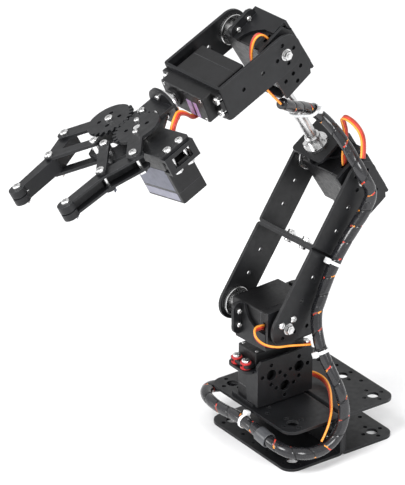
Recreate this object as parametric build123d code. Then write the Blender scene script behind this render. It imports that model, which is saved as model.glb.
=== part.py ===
from build123d import *
import math
import os

# Six-servo desktop robot arm made of bent aluminium sheet.
# Origin: centre of the base's underside. +X: the way the arm reaches, +Z: up. Millimetres.

# ---------------------------------------------------------------- driving dimensions
SHEET = 2.0  # thickness of every bent sheet part
BEND = 2.6  # outside radius of a bend

# base: two channels, back to back
BASE_SIDE = 90.0
BASE_HEIGHT = 30.0
BASE_CORNER = 9.0
BASE_HOLE_INSET = 33.5  # big holes, from the middle of the plate
EDGE_HOLE = (39.2, 13.4)  # small holes along each outer edge

# hole pattern that every sheet part shares: a big hole with four small ones round it
BIG_HOLE_R = 4.0
SMALL_HOLE_R = 1.55
PATTERN_R = 7.2

# hobby servo, from its output axis and the underside of its case
SERVO_LENGTH = 40.5
SERVO_WIDTH = 19.8
SERVO_HEIGHT = 37.0
SHAFT_TO_END = 10.15
SERVO_MIDDLE = SHAFT_TO_END - SERVO_LENGTH / 2
BOTTOM_COVER = 8.0
EAR_BOTTOM = 27.0
EAR_TOP = 29.5
EAR_SPAN = 54.5
EAR_HOLE_SPAN = 49.5
EAR_HOLE_PITCH = 10.0
CASE_WALL = 1.5
BOSS_R = 6.5
BOSS_TOP = SERVO_HEIGHT + 2.0
SPLINE_R = 2.95
SHAFT_TOP = 43.6

# round servo horn
HORN_R = 10.25
HORN_TOP = SERVO_HEIGHT + 8.5
HORN_THICK = 2.4
HORN_BOSS_R = 4.5
HORN_HOLE_R = 1.5

# servo bracket: base plate, two end walls with ears and one long wall full of holes
BRACKET_LENGTH = 45.6
BRACKET_WALL = 15.75  # outer face of the long wall, from the servo's axis
BRACKET_SIDE = 12.5  # the other edge, from the servo's axis
BRACKET_HEIGHT = 35.0
WALL_ROW_HIGH = 21.0  # rows of big holes, from the servo's underside
WALL_ROW_LOW = 10.0
WALL_PITCH = 11.5

# long U channels of the arm and of the wrist fork
CHANNEL_WIDTH = 54.8
LEG_HALF = 13.0
LEG_LENGTH = 54.4  # outer face of the web to the pivot
LEG_HOLES = (17.0, 34.2)  # small holes, from the web's outer face
LEG_INNER = CHANNEL_WIDTH / 2 - SHEET

# where each servo's underside sits, across the arm
SERVO_SEAT = HORN_TOP - LEG_INNER
STUD_R = 1.5
BEARING_R = 3.98
BEARING_FLANGE_R = 5.75

# forearm: a tube between two angle brackets
FOREARM = 129.0
TUBE_R = 4.0
HUB_FLANGE_R = 8.5
HUB_BOSS_R = 5.2
HUB_HEIGHT = 9.0
HUB_SCREW_R = 6.95
TUBE_OFFSET = -5.2  # across the arm, from its middle
ANGLE_HALF = 14.5
ANGLE_LEG = 29.0
ELBOW_ANGLE = 21.5  # outer face of the lower angle bracket, above the elbow
WRIST_ANGLE = 41.5  # outer face of the upper one, below the wrist pivot

# joints at rest, degrees
YAW = 4.3
UPPER_ARM_TILT = -35.4
FOREARM_TILT = 32.3
WRIST_TILT = 112.8
ROLL = 12.9

# joint places
YAW_AXIS = (9.5, -9.5)
ARM_OFFSET = 0.9  # middle of the arm, across, from the yaw axis
HORN_LIFT = BASE_HEIGHT + SHEET + HORN_TOP
SHOULDER_Z = HORN_LIFT + BRACKET_WALL
SHOULDER_X = WALL_PITCH - SERVO_MIDDLE
ELBOW = 2 * LEG_LENGTH
ROLL_AXIS = SERVO_MIDDLE
ROLL_SERVO_Z = LEG_LENGTH - EAR_BOTTOM
HAND_Z = ROLL_SERVO_Z + HORN_TOP

# hand; heights go up from the top of the gripper servo's case
GEAR_PITCH_R = 15.6
GEAR_TEETH = 24
GEAR_MODULE = 2 * GEAR_PITCH_R / GEAR_TEETH
GEAR_LINE = 32.1  # gear axes, from the roll horn's face
SERVO_DROP = 1.1  # top of the gripper servo's case, below the roll axis
LINK_FORWARD = 20.7
LINK_HALF = 5.85
LINK_LENGTH = 32.1
GRIP_ANGLE = 48.5
PALM_LOW = 0.2
PALM_HALF = 12.0
PALM_BACK = 24.0
ARM_LOW = HORN_TOP - SERVO_HEIGHT
ARM_TOP = ARM_LOW + SHEET
GAP = 0.1  # running gap between links, heads and plates
FINGER_TOP = ARM_LOW - GAP
FINGER_LOW = -1.8
FINGER_WALL = 1.5
TIP_SCREW = (1.5, 30.0)  # inwards and forwards, from the finger's front pivot
TIP_END = 36.3
TIP_R = 5.4  # round end of a finger
GROOVE_LOW = 2.6
MOUNT_LOW = EAR_BOTTOM - SERVO_HEIGHT - SHEET
MOUNT_BACK = 54.6  # outer face of the gripper mount, from the middle of the hand

# fasteners
M3_R = 1.45
PAN_R = 2.8
SMALL_PAN_R = 1.9  # heads where there is less room
PAN_H = 1.9
NUT_R = 3.1
NUT_H = 2.3

# cable harness
BUNDLE_R = 4.2


# ---------------------------------------------------------------- frames
def turn_y(angle):
    return Location((0, 0, 0), (0, angle, 0))


BASE = Location((0, 0, 0))
TURRET = Location((YAW_AXIS[0], YAW_AXIS[1], 0), (0, 0, YAW)) * Pos(0, ARM_OFFSET, 0)
SHOULDER = TURRET * Pos(SHOULDER_X, 0, SHOULDER_Z) * turn_y(UPPER_ARM_TILT)
ELBOW_FRAME = SHOULDER * Pos(0, 0, ELBOW) * turn_y(FOREARM_TILT - UPPER_ARM_TILT)
WRIST = ELBOW_FRAME * Pos(0, 0, FOREARM) * turn_y(WRIST_TILT - FOREARM_TILT)
HAND = WRIST * Pos(0, ROLL_AXIS, HAND_Z) * Location((0, 0, 0), (0, 0, ROLL))


def axes_frame(origin, x_dir, z_dir):
    """A location from its origin, X and Z directions."""
    return Location(Plane(origin=origin, x_dir=x_dir, z_dir=z_dir))


# each servo's frame: Z along the output shaft, X towards the end nearest the shaft
BASE_SERVO = Pos(YAW_AXIS[0], YAW_AXIS[1], BASE_HEIGHT + SHEET) * axes_frame((0, 0, 0), (-1, 0, 0), (0, 0, 1))
SHOULDER_SERVO = TURRET * axes_frame((SHOULDER_X, SERVO_SEAT, SHOULDER_Z), (1, 0, 0), (0, -1, 0))
ELBOW_SERVO = ELBOW_FRAME * axes_frame((0, SERVO_SEAT, 0), (0, 0, 1), (0, -1, 0))
WRIST_SERVO = ELBOW_FRAME * axes_frame((0, SERVO_SEAT, FOREARM), (0, 0, 1), (0, -1, 0))
ROLL_SERVO = WRIST * axes_frame((0, ROLL_AXIS, ROLL_SERVO_Z), (0, -1, 0), (0, 0, 1))
# hand frame for the gripper: X across the fingers, Y forward along them, Z up out of the palm
GRIP = HAND * axes_frame((SERVO_DROP, 0, GEAR_LINE), (0, -1, 0), (-1, 0, 0))
GRIP_SERVO = GRIP * Pos(-GEAR_PITCH_R, 0, -SERVO_HEIGHT)
# frames of the horns, which turn with what each servo drives
ACROSS = axes_frame((0, SERVO_SEAT, 0), (0, 0, 1), (0, -1, 0))
YAW_HORN = Location((YAW_AXIS[0], YAW_AXIS[1], BASE_HEIGHT + SHEET), (0, 0, YAW))
SHOULDER_HORN = SHOULDER * ACROSS
ELBOW_HORN = SHOULDER * Pos(0, 0, ELBOW) * ACROSS
WRIST_HORN = WRIST * ACROSS
ROLL_HORN = HAND * Pos(0, 0, -HORN_TOP)
GRIP_HORN = GRIP_SERVO * Rot(0, 0, GRIP_ANGLE)

PARTS = {}


def add(name, frame, *solids):
    """Put solids, drawn in a local frame, into a node."""
    placed = PARTS.setdefault(name, [])
    for item in solids:
        for solid in item.solids():
            placed.append(frame * solid)


# ---------------------------------------------------------------- small shapes
def rod(x, y, z0, z1, radius):
    """A round bar along Z."""
    return Pos(x, y, (z0 + z1) / 2) * Cylinder(radius, z1 - z0)


def block(x0, x1, y0, y1, z0, z1):
    return Pos((x0 + x1) / 2, (y0 + y1) / 2, (z0 + z1) / 2) * Box(x1 - x0, y1 - y0, z1 - z0)


def plate(outline, z0, z1):
    """A flat plate from a closed outline in XY."""
    return Pos(0, 0, z0) * extrude(make_face(outline), amount=z1 - z0)


def rounded(width, length, radius, z0, z1):
    return Pos(0, 0, z0) * extrude(RectangleRounded(width, length, radius), amount=z1 - z0)


def pattern_points(x, y):
    return [(x + PATTERN_R, y), (x - PATTERN_R, y), (x, y + PATTERN_R), (x, y - PATTERN_R)]


def pattern_cut(x, y, z0, z1, big=BIG_HOLE_R):
    """The big hole and the four small ones round it."""
    cut = rod(x, y, z0, z1, big)
    for px, py in pattern_points(x, y):
        cut += rod(px, py, z0, z1, SMALL_HOLE_R)
    return cut


def pan_screw(length, head_r=PAN_R):
    """A pan-head screw, head above Z 0, shank below, with a cross recess."""
    head = rod(0, 0, 0, PAN_H, head_r)
    head = fillet(head.edges().group_by(Axis.Z)[-1], PAN_H * 0.55)
    cross = block(-1.6, 1.6, -0.35, 0.35, PAN_H - 0.9, PAN_H + 1)
    cross += block(-0.35, 0.35, -1.6, 1.6, PAN_H - 0.9, PAN_H + 1)
    return head - cross + rod(0, 0, -length, 0, M3_R)


def nut(x, y, z0):
    """A hex nut on a screw's shank."""
    return Pos(x, y, z0) * extrude(RegularPolygon(NUT_R, 6) - Circle(M3_R + 0.02), amount=NUT_H)


# ---------------------------------------------------------------- servo
def servo_case():
    """The middle shell, open at both ends, with its two ears and a deck under the gears."""
    shell = Pos(SERVO_MIDDLE, 0, 0) * rounded(SERVO_LENGTH, SERVO_WIDTH, 1.2, BOTTOM_COVER, EAR_TOP)
    inner = Pos(SERVO_MIDDLE, 0, 0) * rounded(
        SERVO_LENGTH - 2 * CASE_WALL, SERVO_WIDTH - 2 * CASE_WALL, 0.6, BOTTOM_COVER, EAR_TOP - 2.5
    )
    ears = Pos(SERVO_MIDDLE, 0, 0) * rounded(EAR_SPAN, SERVO_WIDTH - 0.8, 1.5, EAR_BOTTOM, EAR_TOP)
    body = shell - inner + ears
    for side in (-1, 1):
        for row in (-1, 1):
            x = SERVO_MIDDLE + side * EAR_HOLE_SPAN / 2
            y = row * EAR_HOLE_PITCH / 2
            body -= rod(x, y, EAR_BOTTOM - 1, EAR_TOP + 1, 2.3)
            body -= block(min(x, x + side * 4), max(x, x + side * 4), y - 1.1, y + 1.1, EAR_BOTTOM - 1, EAR_TOP + 1)
    return body


def servo_bottom_cover():
    cover = Pos(SERVO_MIDDLE, 0, 0) * rounded(SERVO_LENGTH, SERVO_WIDTH, 1.2, 0, BOTTOM_COVER)
    inner = Pos(SERVO_MIDDLE, 0, 0) * rounded(
        SERVO_LENGTH - 2 * CASE_WALL, SERVO_WIDTH - 2 * CASE_WALL, 0.6, CASE_WALL, BOTTOM_COVER
    )
    outlet = block(SHAFT_TO_END - CASE_WALL - 0.5, SHAFT_TO_END + 0.5, -3.2, 3.2, 3.4, 5.4)
    return cover - inner - outlet


def servo_gear_cover():
    cover = Pos(SERVO_MIDDLE, 0, 0) * rounded(SERVO_LENGTH, SERVO_WIDTH, 1.2, EAR_TOP, SERVO_HEIGHT)
    cover = chamfer(cover.faces().sort_by(Axis.Z)[-1].edges(), 0.5)
    inner = Pos(SERVO_MIDDLE, 0, 0) * rounded(
        SERVO_LENGTH - 2 * CASE_WALL, SERVO_WIDTH - 2 * CASE_WALL, 0.6, EAR_TOP, SERVO_HEIGHT - CASE_WALL
    )
    boss = rod(0, 0, SERVO_HEIGHT, BOSS_TOP, BOSS_R)
    return cover - inner + boss - rod(0, 0, EAR_TOP, BOSS_TOP + 1, SPLINE_R + 0.05)


def servo_drive():
    """Motor, circuit board, position sensor and the two reduction gears."""
    motor = rod(SERVO_MIDDLE - 9, 0, 6.0, 26.0, 7.8)
    motor += rod(SERVO_MIDDLE - 9, 0, 26.0, 26.8, 3.0)
    board = block(SERVO_MIDDLE - 17, SERVO_MIDDLE + 17, -7.5, 7.5, 2.6, 4.2)
    sensor = rod(0, 0, 12.0, 24.0, 6.5)
    gear_a = rod(-12.4, 2.0, 30.2, 31.6, 4.6) + rod(-12.4, 2.0, 31.6, 34.6, 2.0)
    gear_b = rod(-22.0, -1.5, 30.2, 32.8, 4.2)
    return motor, board, sensor, gear_a, gear_b


def servo_output():
    """Output gear and splined shaft, with the round horn pressed on it."""
    shaft = rod(0, 0, 30.0, 33.0, 6.4) + rod(0, 0, 33.0, SHAFT_TOP, SPLINE_R)
    shaft -= rod(0, 0, SHAFT_TOP - 6, SHAFT_TOP + 1, 1.3)
    disc = rod(0, 0, HORN_TOP - HORN_THICK, HORN_TOP, HORN_R)
    disc = chamfer(disc.edges(), 0.3)
    horn = disc + rod(0, 0, BOSS_TOP + 0.3, HORN_TOP - HORN_THICK, HORN_BOSS_R)
    horn -= rod(0, 0, BOSS_TOP, SHAFT_TOP, SPLINE_R + 0.02)
    horn -= rod(0, 0, SHAFT_TOP, HORN_TOP + 1, 1.5)
    for angle in range(0, 360, 90):
        hole = Rot(0, 0, angle) * rod(PATTERN_R, 0, HORN_TOP - HORN_THICK - 1, HORN_TOP + 1, HORN_HOLE_R)
        horn -= hole
    return shaft, horn


def horn_screws(plate_thick=SHEET, spread=(0, 90, 180, 270)):
    """Screws through a sheet into the horn, and the one that holds the horn on its shaft."""
    screws = []
    for angle in spread:
        screw = pan_screw(plate_thick + HORN_THICK - 0.2, SMALL_PAN_R)
        screws.append(Rot(0, 0, angle) * Pos(PATTERN_R, 0, HORN_TOP + plate_thick) * screw)
    centre = Pos(0, 0, HORN_TOP) * (rod(0, 0, 0, PAN_H, 2.4) + rod(0, 0, -7.0, 0, 1.25))
    screws.append(centre)
    return screws


def ear_screws(seat=EAR_TOP, grip=EAR_TOP - EAR_BOTTOM + SHEET, below=False):
    """Four screws through the ears and the sheet; seat is the height under their heads."""
    screws = []
    for side in (-1, 1):
        for row in (-1, 1):
            x = SERVO_MIDDLE + side * EAR_HOLE_SPAN / 2
            y = row * EAR_HOLE_PITCH / 2
            if below:
                under = Location((x, y, EAR_BOTTOM - SHEET), (180, 0, 0))
                screws.append(under * pan_screw(grip + 0.6, SMALL_PAN_R))
            else:
                screws.append(Pos(x, y, seat) * pan_screw(grip))
    return screws


def grommets():
    """Rubber grommets in the ear holes."""
    rings = []
    for side in (-1, 1):
        for row in (-1, 1):
            x = SERVO_MIDDLE + side * EAR_HOLE_SPAN / 2
            y = row * EAR_HOLE_PITCH / 2
            ring = rod(x, y, EAR_BOTTOM - 1, EAR_BOTTOM, 3.6) + rod(x, y, EAR_TOP, EAR_TOP + 1, 3.6)
            ring += rod(x, y, EAR_BOTTOM, EAR_TOP, 2.2)
            rings.append(ring - rod(x, y, EAR_BOTTOM - 2, EAR_TOP + 2, 1.6))
    return rings


# ---------------------------------------------------------------- servo bracket
def bracket(hand, tab_top):
    """Sheet bracket round a servo. hand +1 puts the long wall on +Y, -1 on -Y."""
    half = BRACKET_LENGTH / 2
    relief = half - 7.0
    neck = BRACKET_WALL - 5.2
    floor = plate(Polyline(
        (-relief, BRACKET_WALL), (relief, BRACKET_WALL), (relief, BRACKET_WALL - SHEET), (half, neck),
        (half, -BRACKET_SIDE), (-half, -BRACKET_SIDE), (-half, neck), (-relief, BRACKET_WALL - SHEET),
        close=True,
    ), -SHEET, 0)
    floor -= pattern_cut(-SERVO_MIDDLE, 0, -SHEET - 1, 1, STUD_R + 0.05)
    floor -= pattern_cut(-WALL_PITCH, 0, -SHEET - 1, 1, SMALL_HOLE_R)
    wall = block(-half, half, BRACKET_WALL - SHEET, BRACKET_WALL, 0, BRACKET_HEIGHT - SHEET)
    wall += block(-relief, relief, BRACKET_WALL - SHEET, BRACKET_WALL, -SHEET, 0)
    wall = chamfer(wall.edges().filter_by(Axis.Y).group_by(Axis.Z)[-1], 3.0)
    to_wall = Location((0, BRACKET_WALL - SHEET, 0), (90, 0, 0))
    for x, z in ((-WALL_PITCH, WALL_ROW_HIGH), (WALL_PITCH, WALL_ROW_HIGH), (0, WALL_ROW_LOW)):
        wall -= to_wall * pattern_cut(x, z, -SHEET - 1, 1)
    body = floor + wall
    body = fillet([e for e in body.edges().filter_by(Axis.X) if on_line(e, BRACKET_WALL, -SHEET)], BEND - 0.8)
    for end in (-1, 1):
        body += end_wall(end, half, tab_top)
    turned = mirror(body, about=Plane.XZ) if hand < 0 else body
    return Pos(SERVO_MIDDLE, 0, 0) * turned


def on_line(edge, y, z):
    """True for an edge along X at a given height and side."""
    middle = edge.center()
    return abs(middle.Y - y) < 0.01 and abs(middle.Z - z) < 0.01


def end_wall(end, half, tab_top):
    """One end wall: narrow at its foot, wide at its ear, which is bent outwards."""
    foot = BRACKET_WALL - SHEET
    wide = -BRACKET_SIDE + 1.5
    bend_z = tab_top - SHEET
    outline = Polyline(
        (foot, 0.8), (foot, tab_top), (wide, tab_top), (wide, bend_z - 3.0), (wide + 5.0, bend_z - 4.6),
        (wide + 9.5, bend_z - 7.6), (wide + 12.6, bend_z - 12.0), (4.0, 9.0), (4.0, 0.8), close=True,
    )
    upright = Plane(origin=(half - SHEET, 0, 0), x_dir=(0, 1, 0), z_dir=(1, 0, 0))
    wall = Location(upright) * plate(outline, 0, SHEET)
    ear = block(half - SHEET, EAR_SPAN / 2 + 2.0, wide, foot - 2.0, bend_z, tab_top)
    ear = fillet(ear.edges().filter_by(Axis.Z).group_by(Axis.X)[-1], 5.0)
    wall += ear
    for row in (-1, 1):
        wall -= rod(EAR_HOLE_SPAN / 2, row * EAR_HOLE_PITCH / 2, bend_z - 1, tab_top + 1, SMALL_HOLE_R)
    return wall if end > 0 else mirror(wall, about=Plane.YZ)


# ---------------------------------------------------------------- channels
def round_leg(y_out):
    """One leg of a U channel, from its web at Z 0 up to its pivot."""
    outline = Polyline((-LEG_HALF, LEG_LENGTH), (-LEG_HALF, 0), (LEG_HALF, 0), (LEG_HALF, LEG_LENGTH))
    round_end = ThreePointArc((LEG_HALF, LEG_LENGTH), (0, LEG_LENGTH + LEG_HALF), (-LEG_HALF, LEG_LENGTH))
    leg = extrude(make_face(outline.edges() + round_end.edges()), amount=SHEET)
    leg -= pattern_cut(0, LEG_LENGTH, -1, SHEET + 1)
    for z in LEG_HOLES:
        leg -= rod(0, z, -1, SHEET + 1, SMALL_HOLE_R)
    return Location((0, y_out, 0), (90, 0, 0)) * leg


def u_channel():
    """Long U channel: web on Z 0 to SHEET, legs up to the pivot at LEG_LENGTH."""
    half = CHANNEL_WIDTH / 2
    web = block(-LEG_HALF, LEG_HALF, -half, half, 0, SHEET)
    body = web + round_leg(-half + SHEET) + round_leg(half)
    body = fillet([e for e in body.edges().filter_by(Axis.X) if abs(e.center().Z) < 0.01], BEND)
    inner = [e for e in body.edges().filter_by(Axis.X) if abs(e.center().Z - SHEET) < 0.01]
    return fillet(inner, BEND - SHEET)


def arm_channel():
    return u_channel() - pattern_cut(0, 0, -1, SHEET + 1)


def fork_channel():
    """The wrist fork: a U channel whose web carries the roll servo."""
    channel = u_channel() - block(-10.2, 10.2, -20.7, 20.7, -1, SHEET + 1)
    for side in (-1, 1):
        for row in (-1, 1):
            channel -= rod(row * EAR_HOLE_PITCH / 2, side * EAR_HOLE_SPAN / 2, -1, SHEET + 1, SMALL_HOLE_R)
    return channel


def base_channel(side):
    """One base channel: its web stands beside X 0, its two flanges reach out to the edge."""
    half = BASE_SIDE / 2
    flange = block(0, half, -half, half, 0, SHEET)
    flange = fillet(flange.edges().filter_by(Axis.Z).group_by(Axis.X)[-1], BASE_CORNER)
    for y in (-BASE_HOLE_INSET, 0, BASE_HOLE_INSET):
        flange -= pattern_cut(BASE_HOLE_INSET, y, -1, SHEET + 1)
    for y in (-EDGE_HOLE[1], EDGE_HOLE[1]):
        flange -= rod(EDGE_HOLE[0], y, -1, SHEET + 1, SMALL_HOLE_R)
    web = block(0, SHEET, -half, half, 0, BASE_HEIGHT)
    body = web + flange + Pos(0, 0, BASE_HEIGHT - SHEET) * flange
    body = fillet([e for e in body.edges().filter_by(Axis.Y) if abs(e.center().X) < 0.01], BEND)
    turn = Location((0, 0, BASE_HEIGHT / 2), (0, 90, 0))
    for y in (-BASE_HOLE_INSET, 0, BASE_HOLE_INSET):
        body -= turn * Pos(0, y, 0) * pattern_cut(0, 0, -2, SHEET + 2, 3.0)
    return body if side > 0 else mirror(body, about=Plane.YZ)


def channel_solids(channel, side):
    """A base channel as its web with both bends and two flat flanges, which meet face to face."""
    reach = side * (BEND + 0.1)
    near, far = min(0, reach), max(0, reach)
    web = block(near, far, -BASE_SIDE, BASE_SIDE, -1, BASE_HEIGHT + 1)
    return (channel & web), (channel - web)


# ---------------------------------------------------------------- forearm pieces
def angle_bracket():
    """Angle bracket for a tube hub: its plate's outer face is Z 0, its leg hangs on the long wall."""
    wall = -BRACKET_WALL
    low, high = TUBE_OFFSET - ANGLE_HALF, TUBE_OFFSET + ANGLE_HALF
    body = block(wall - SHEET, wall - SHEET + 2 * ANGLE_HALF, low, high, -SHEET, 0)
    body = fillet(body.edges().filter_by(Axis.Z).group_by(Axis.X)[-1], 3.0)
    body += block(wall - SHEET, wall, low, high, -ANGLE_LEG, 0)
    bend = [e for e in body.edges().filter_by(Axis.Y) if abs(e.center().Z) < 0.01 and e.center().X < wall - 1]
    body = fillet(bend, BEND)
    body -= rod(0, TUBE_OFFSET, -SHEET - 1, 1, 2.5)
    for angle in (45, 135, 225, 315):
        body -= Pos(0, TUBE_OFFSET, 0) * Rot(0, 0, angle) * rod(HUB_SCREW_R, 0, -SHEET - 1, 1, 1.1)
    return body


def angle_leg_cut(x_wall, z_wall):
    """Holes through an angle bracket's leg that match the long wall's pattern, in the servo's frame."""
    to_wall = Location((0, -BRACKET_WALL, 0), (90, 0, 0))
    return to_wall * pattern_cut(x_wall, z_wall, -1, SHEET + 1)


def wall_screws(x_wall, z_wall):
    """Screws through the long wall (on -Y) into what is bolted on its outside, heads inside."""
    pieces = []
    for along, up in ((PATTERN_R, 0), (-PATTERN_R, 0)):
        frame = Location((x_wall + along, -BRACKET_WALL + SHEET, z_wall + up), (-90, 0, 0))
        pieces.append(frame * pan_screw(2 * SHEET + NUT_H, SMALL_PAN_R))
        pieces.append(frame * nut(0, 0, -2 * SHEET - NUT_H))
    return pieces


def tube_hub():
    """Flanged hub that holds the end of the tube, flange on Z 0."""
    hub = rod(0, 0, 0, 2.0, HUB_FLANGE_R) + rod(0, 0, 2.0, HUB_HEIGHT, HUB_BOSS_R)
    hub = chamfer(hub.edges().group_by(Axis.Z)[-1], 0.6)
    hub -= rod(0, 0, 1.0, HUB_HEIGHT + 1, TUBE_R + 0.02)
    for angle in (45, 135, 225, 315):
        hub -= Rot(0, 0, angle) * rod(HUB_SCREW_R, 0, -1, 3, 1.1)
    return hub


def hub_screws():
    """Small screws that hold a hub's flange on its angle bracket."""
    pieces = []
    for angle in (45, 135, 225, 315):
        spot = Rot(0, 0, angle) * Pos(HUB_SCREW_R, 0, 0)
        pieces.append(spot * (rod(0, 0, 2.0, 3.2, 1.6) + rod(0, 0, -SHEET, 2.0, 1.0)))
    return pieces


# ---------------------------------------------------------------- gripper pieces
def involute(angle):
    return math.tan(angle) - angle


def gear_outline(phase, middle, sector, play=0.25):
    """Points round a gear with teeth only within a sector; play is the gap left in the mesh."""
    root = GEAR_PITCH_R - 1.25 * GEAR_MODULE
    tip = GEAR_PITCH_R + 0.85 * GEAR_MODULE
    pressure = math.radians(20)
    ground = GEAR_PITCH_R * math.cos(pressure)
    points = []
    for tooth in range(GEAR_TEETH):
        angle = phase + 2 * math.pi * tooth / GEAR_TEETH
        away = abs((angle - middle + math.pi) % (2 * math.pi) - math.pi)
        if away > sector:
            for step in (-1, 0, 1):
                turn = angle + step * 2 * math.pi / (3 * GEAR_TEETH)
                points.append((GEAR_PITCH_R * math.cos(turn), GEAR_PITCH_R * math.sin(turn)))
            continue
        flank = []
        for step in range(4):
            radius = ground + (tip - ground) * step / 3
            roll = math.acos(min(1.0, ground / radius))
            half = math.pi / (2 * GEAR_TEETH) - play / (2 * GEAR_PITCH_R) + involute(pressure) - involute(roll)
            flank.append((radius, half))
        flank.insert(0, (root, flank[0][1] + 0.01))
        for radius, half in flank:
            points.append((radius * math.cos(angle - half), radius * math.sin(angle - half)))
        for radius, half in reversed(flank):
            points.append((radius * math.cos(angle + half), radius * math.sin(angle + half)))
    return points


def bar(x0, y0, x1, y1, width, z0, z1):
    """A flat link with round ends between two pivots."""
    length = math.hypot(x1 - x0, y1 - y0)
    angle = math.degrees(math.atan2(y1 - y0, x1 - x0))
    shape = extrude(SlotCenterToCenter(length, width), amount=z1 - z0)
    return Pos((x0 + x1) / 2, (y0 + y1) / 2, z0) * Rot(0, 0, angle) * shape


def arm_end(side):
    """Outer pivot of a gear arm or link, from its own pivot. side +1 is the left finger."""
    angle = math.radians(GRIP_ANGLE)
    return side * LINK_LENGTH * math.sin(angle), LINK_LENGTH * math.cos(angle)


def gear_arm(side):
    """Toothed arm about its own axis."""
    middle = math.pi if side > 0 else 0.0
    phase = 0.0 if side > 0 else math.pi / GEAR_TEETH
    outline = gear_outline(phase, middle, math.radians(83))
    ex, ey = arm_end(side)
    arm = plate(Polyline(*outline, close=True), ARM_LOW, ARM_TOP) + bar(0, 0, ex, ey, 10.0, ARM_LOW, ARM_TOP)
    arm -= rod(ex, ey, ARM_LOW - 1, ARM_TOP + 1, M3_R + 0.05)
    arm -= rod(0, 0, ARM_LOW - 1, ARM_TOP + 1, M3_R + 0.05 if side > 0 else 3.0)
    turn = Rot(0, 0, -side * GRIP_ANGLE)
    for angle in (0, 90, 180, 270):
        arm -= turn * Rot(0, 0, angle) * rod(PATTERN_R, 0, ARM_LOW - 1, ARM_TOP + 1, SMALL_HOLE_R)
    return arm


def link_bars(side):
    """Two parallel bars between the palm and a finger, about the palm pivot."""
    ex, ey = arm_end(side)
    bars = []
    for low in (ARM_LOW, FINGER_LOW - GAP - SHEET):
        one = bar(0, 0, ex, ey, 7.0, low, low + SHEET)
        one -= rod(0, 0, low - 1, low + 4, M3_R + 0.05)
        one -= rod(ex, ey, low - 1, low + 4, M3_R + 0.3)
        bars.append(one)
    return bars


def finger(side):
    """Channel finger about its front pivot, with a round tip; it is open on its outer side."""
    back_x = GEAR_PITCH_R - LINK_HALF
    tip_x = -TIP_SCREW[0]
    body = plate(Polyline(
        (back_x - 2.6, -LINK_FORWARD - 5.6), (-4.0, -1.5), (tip_x - 3.5, TIP_SCREW[1]), (tip_x + 3.3, TIP_SCREW[1]),
        (4.2, 3.0), (back_x + 4.4, -LINK_FORWARD + 2.0), (back_x + 5.6, -LINK_FORWARD - 2.6),
        (back_x + 2.4, -LINK_FORWARD - 5.6), close=True,
    ), FINGER_LOW, FINGER_TOP)
    body += rod(tip_x, TIP_END - TIP_R, FINGER_LOW, FINGER_TOP, TIP_R)
    body -= plate(Polyline(
        (back_x - 0.4, -LINK_FORWARD - 9), (-2.0, -1.2), (tip_x - 1.8, 22.0), (tip_x - 1.8, TIP_SCREW[1] - 2.5),
        (30, TIP_SCREW[1] - 2.5), (30, -LINK_FORWARD - 9), close=True,
    ), FINGER_LOW + FINGER_WALL, FINGER_TOP - FINGER_WALL)
    groove = rod(tip_x, TIP_END - TIP_R, GROOVE_LOW, GROOVE_LOW + 1.2, TIP_R + 1)
    body -= groove - rod(tip_x, TIP_END - TIP_R, GROOVE_LOW - 1, GROOVE_LOW + 3, TIP_R - 0.9)
    for x, y in ((0, 0), (back_x, -LINK_FORWARD), (tip_x, TIP_SCREW[1])):
        body -= rod(x, y, FINGER_LOW - 1, FINGER_TOP + 1, M3_R + 0.02)
    return body if side > 0 else mirror(body, about=Plane.YZ)


def finger_bolts(side):
    """Bolts through a finger's pivots and its tip, with nuts underneath."""
    back_x = side * (GEAR_PITCH_R - LINK_HALF)
    head = ARM_TOP + GAP
    deep = FINGER_LOW - 2 * GAP - SHEET
    tip = (-side * TIP_SCREW[0], TIP_SCREW[1])
    return [
        Pos(0, 0, head) * pan_screw(head - deep + NUT_H), nut(0, 0, deep - NUT_H),
        Pos(back_x, -LINK_FORWARD, head) * pan_screw(head - FINGER_LOW + NUT_H),
        nut(back_x, -LINK_FORWARD, FINGER_LOW - NUT_H),
        Pos(tip[0], tip[1], FINGER_TOP) * pan_screw(FINGER_TOP - FINGER_LOW + NUT_H),
        nut(tip[0], tip[1], FINGER_LOW - NUT_H),
    ]


def palm_plate():
    """Palm plate over the gripper servo, reaching forward to the link pivots."""
    front = LINK_FORWARD + 5.0
    side = GEAR_PITCH_R + 8.0
    body = plate(Polyline(
        (side, 8.0), (13.0, front), (-13.0, front), (-side, PALM_HALF), (-MOUNT_BACK + SHEET, PALM_HALF),
        (-MOUNT_BACK + SHEET, -PALM_HALF), (-side, -PALM_HALF), (-13.0, -PALM_BACK), (13.0, -PALM_BACK),
        (side, -PALM_HALF), close=True,
    ), PALM_LOW, PALM_LOW + SHEET)
    body = fillet(body.edges().filter_by(Axis.Z), 3.0)
    body -= rod(-GEAR_PITCH_R, 0, -1, 9, BOSS_R + 0.5)
    body -= rod(GEAR_PITCH_R, 0, -1, 9, M3_R + 0.05)
    for x in (-LINK_HALF, LINK_HALF):
        body -= rod(x, LINK_FORWARD, -1, 9, M3_R + 0.05)
    body -= Pos(3.0, 11.9, 0) * rounded(11, 5, 2.0, -1, 9)
    for row in (-1, 1):
        body -= rod(ear_line(), row * EAR_HOLE_PITCH / 2, -1, 9, SMALL_HOLE_R)
        body -= rod(row * PATTERN_R, -PALM_BACK + 5.5, -1, 9, SMALL_HOLE_R)
    return body


def ear_line():
    """Where the gripper servo's far ear holes are, across the hand."""
    return -GEAR_PITCH_R + SERVO_MIDDLE - EAR_HOLE_SPAN / 2


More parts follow.
